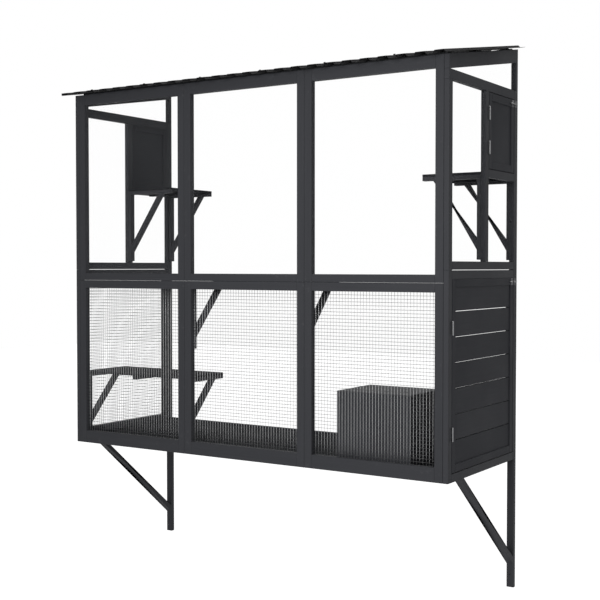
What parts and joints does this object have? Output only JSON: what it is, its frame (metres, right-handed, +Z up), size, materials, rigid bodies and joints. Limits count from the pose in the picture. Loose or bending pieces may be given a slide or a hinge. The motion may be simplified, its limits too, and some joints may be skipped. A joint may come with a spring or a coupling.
{
  "type": "window box catio",
  "caption": "Wall-hung window box catio: glazed and netted timber frames under a sloping ribbed roof, with bolted side doors, bracketed cat shelves and a sleeping box.",
  "frame": {"origin": "centre of the four wall screws, on the wall plane", "axes": "+X along the wall to the right as seen from the front, +Y into the wall, +Z up"},
  "size_m": [1.81, 0.6692, 2.1154],
  "materials": {
    "charcoal_timber": "satin charcoal paint on planed softwood",
    "clear_pane": "clear smooth acrylic sheet",
    "galvanised_wire": "galvanised welded wire",
    "zinc_hardware": "bright zinc plate",
    "roof_metal": "satin black coated sheet",
    "roof_screw": "satin black coated"
  },
  "bodies": {
    "enclosure": {"front_upper_frame_left": "charcoal_timber", "front_upper_frame_middle": "charcoal_timber", "front_upper_frame_right": "charcoal_timber", "front_lower_frame_left": "charcoal_timber", "front_lower_frame_middle": "charcoal_timber", "front_lower_frame_right": "charcoal_timber", "front_window_left": "clear_pane", "front_window_middle": "clear_pane", "front_window_right": "clear_pane", "front_net_left": "galvanised_wire", "front_net_middle": "galvanised_wire", "front_net_right": "galvanised_wire", "side_net": "galvanised_wire", "left_upper_frame": "charcoal_timber", "right_upper_frame": "charcoal_timber", "left_lower_frame": "charcoal_timber", "right_lower_frame": "charcoal_timber", "rear_posts": "charcoal_timber", "left_rafter": "charcoal_timber", "right_rafter": "charcoal_timber", "left_side_windows": "clear_pane", "right_side_windows": "clear_pane", "left_side_panel": "charcoal_timber", "hinge_fixed_leaves": "zinc_hardware", "hinge_pins": "zinc_hardware", "bolt_keepers": "zinc_hardware", "lower_left_shelf": "charcoal_timber", "middle_shelf": "charcoal_timber", "upper_left_shelf": "charcoal_timber", "upper_right_shelf": "charcoal_timber", "lower_left_brackets": "charcoal_timber", "middle_brackets": "charcoal_timber", "upper_left_brackets": "charcoal_timber", "upper_right_brackets": "charcoal_timber", "sleeping_box_front": "charcoal_timber", "sleeping_box_back": "charcoal_timber", "sleeping_box_left": "charcoal_timber", "sleeping_box_right": "charcoal_timber", "sleeping_box_lid": "charcoal_timber", "floor_boards": "charcoal_timber", "floor_joists": "charcoal_timber", "rear_bottom_rail": "charcoal_timber", "left_leg": "charcoal_timber", "right_leg": "charcoal_timber", "left_brace": "charcoal_timber", "right_brace": "charcoal_timber", "roof_sheet": "roof_metal", "roof_battens": "charcoal_timber", "roof_screws": "roof_screw"},
    "lower_door": {"lower_door_frame": "charcoal_timber", "lower_door_planks": "charcoal_timber", "lower_hinge_leaves": "zinc_hardware", "lower_bolt_plate": "zinc_hardware"},
    "upper_door": {"upper_door_frame": "charcoal_timber", "upper_door_panel": "charcoal_timber", "upper_hinge_leaves": "zinc_hardware", "upper_bolt_plate": "zinc_hardware"},
    "lower_bolt": {"lower_bolt_rod": "zinc_hardware"},
    "upper_bolt": {"upper_bolt_rod": "zinc_hardware"}
  },
  "joints": [
    {"name": "lower_door_hinge", "type": "hinge", "parent": "enclosure", "child": "lower_door", "pos_m": [0.8782, -0.58725, 0.1355], "axis": [0, 0, -1], "range_deg": [0, 120]},
    {"name": "upper_door_hinge", "type": "hinge", "parent": "enclosure", "child": "upper_door", "pos_m": [0.8782, -0.27625, 1.0175], "axis": [0, 0, -1], "range_deg": [0, 120]},
    {"name": "lower_bolt_slide", "type": "slide", "parent": "lower_door", "child": "lower_bolt", "axis": [0, 1, 0], "range_m": [0, 0.013]},
    {"name": "upper_bolt_slide", "type": "slide", "parent": "upper_door", "child": "upper_bolt", "axis": [0, 1, 0], "range_m": [0, 0.013]}
  ]
}
